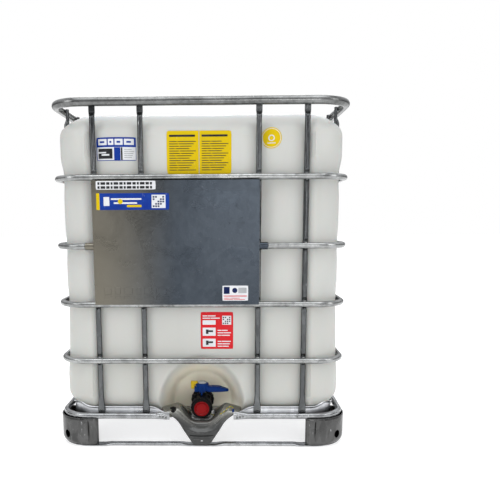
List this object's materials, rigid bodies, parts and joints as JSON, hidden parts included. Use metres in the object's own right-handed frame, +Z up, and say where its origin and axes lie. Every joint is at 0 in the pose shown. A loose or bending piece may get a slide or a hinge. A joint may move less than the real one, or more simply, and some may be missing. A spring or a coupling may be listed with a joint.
{
  "type": "intermediate bulk container",
  "caption": "Composite bulk container: blown plastic tank in a welded tube cage on a pressed steel pallet, with screw lid, butterfly outlet valve and earth cable.",
  "frame": {"origin": "on the floor under the middle of the pallet", "axes": "+Z up, the valve side faces -Y, +X to the right when the valve side is seen from the front"},
  "size_m": [1, 1.2, 1.1593],
  "materials": {
    "galvanised_steel": "hot-dip galvanised tube and sheet, satin with soft mottling and scuffs",
    "pressed_steel": "galvanised pressed sheet, dull and darker, scratched along the edges",
    "bolt_steel": "zinc plated",
    "tank_plastic": "blown natural polyethylene, milky and translucent, soft sheen",
    "black_plastic": "moulded, fine grain",
    "red_plastic": "moulded, glossy",
    "blue_plastic": "moulded, semi-gloss",
    "yellow_plastic": "moulded, satin",
    "grey_plastic": "moulded, semi-gloss",
    "seal_rubber": "matt elastomer",
    "cable_sheath": "yellow and green striped sheath"
  },
  "bodies": {
    "container": {"floor_pan": "pressed_steel", "pallet_rail": "galvanised_steel", "base_ring": "galvanised_steel", "corner_foot_front_left": "pressed_steel", "corner_foot_front_right": "pressed_steel", "corner_foot_rear_left": "pressed_steel", "corner_foot_rear_right": "pressed_steel", "side_foot_left": "pressed_steel", "side_foot_right": "pressed_steel", "rear_foot": "pressed_steel", "valve_trough": "pressed_steel", "wing_clip": "black_plastic", "front_post_1": "galvanised_steel", "front_post_2": "galvanised_steel", "front_post_3": "galvanised_steel", "front_post_4": "galvanised_steel", "rear_post_1": "galvanised_steel", "rear_post_2": "galvanised_steel", "rear_post_3": "galvanised_steel", "rear_post_4": "galvanised_steel", "left_post_1": "galvanised_steel", "left_post_2": "galvanised_steel", "left_post_3": "galvanised_steel", "left_post_4": "galvanised_steel", "left_post_5": "galvanised_steel", "left_post_6": "galvanised_steel", "right_post_1": "galvanised_steel", "right_post_2": "galvanised_steel", "right_post_3": "galvanised_steel", "right_post_4": "galvanised_steel", "right_post_5": "galvanised_steel", "right_post_6": "galvanised_steel", "ring_upper": "galvanised_steel", "ring_middle": "galvanised_steel", "ring_lower": "galvanised_steel", "ring_bottom": "galvanised_steel", "top_rail": "galvanised_steel", "top_bar_front": "galvanised_steel", "top_bar_rear": "galvanised_steel", "bar_bolt_left_front": "bolt_steel", "bar_bolt_right_front": "bolt_steel", "bar_bolt_left_rear": "bolt_steel", "bar_bolt_right_rear": "bolt_steel", "label_plate": "galvanised_steel", "tank": "tank_plastic", "union_nut": "black_plastic", "valve_body": "black_plastic", "earth_cable": "cable_sheath", "earth_lug": "blue_plastic", "outlet_seal": "seal_rubber"},
    "lid_lift": {"lid_seal": "seal_rubber"},
    "lid": {"lid": "black_plastic"},
    "vent": {"vent_plug": "red_plastic"},
    "closure": {"handle": "blue_plastic", "handle_cap": "grey_plastic", "valve_stem": "bolt_steel", "valve_disc": "black_plastic"},
    "catch": {"safety_catch": "yellow_plastic"},
    "cap_travel": {"cap_insert": "red_plastic"},
    "cap": {"outlet_cap": "black_plastic"}
  },
  "joints": [
    {"name": "lid_lift", "type": "slide", "parent": "container", "child": "lid_lift", "axis": [0, 0, 1], "range_m": [0, 0.25]},
    {"name": "lid_turn", "type": "hinge", "parent": "lid_lift", "child": "lid", "pos_m": [0, 0, 1.13], "axis": [0, 0, 1], "continuous": true},
    {"name": "vent_lift", "type": "slide", "parent": "lid", "child": "vent", "axis": [0, 0, 1], "range_m": [0, 0.05]},
    {"name": "handle_turn", "type": "hinge", "parent": "container", "child": "closure", "pos_m": [0, -0.492, 0.166], "axis": [0, 0, 1], "range_deg": [-90, 0]},
    {"name": "catch_pull", "type": "slide", "parent": "closure", "child": "catch", "axis": [-1, 0, 0], "range_m": [0, 0.03]},
    {"name": "cap_pull", "type": "slide", "parent": "container", "child": "cap_travel", "axis": [0, -1, 0], "range_m": [0, 0.15]},
    {"name": "cap_turn", "type": "hinge", "parent": "cap_travel", "child": "cap", "pos_m": [0, -0.56, 0.128], "axis": [0, 1, 0], "continuous": true}
  ]
}
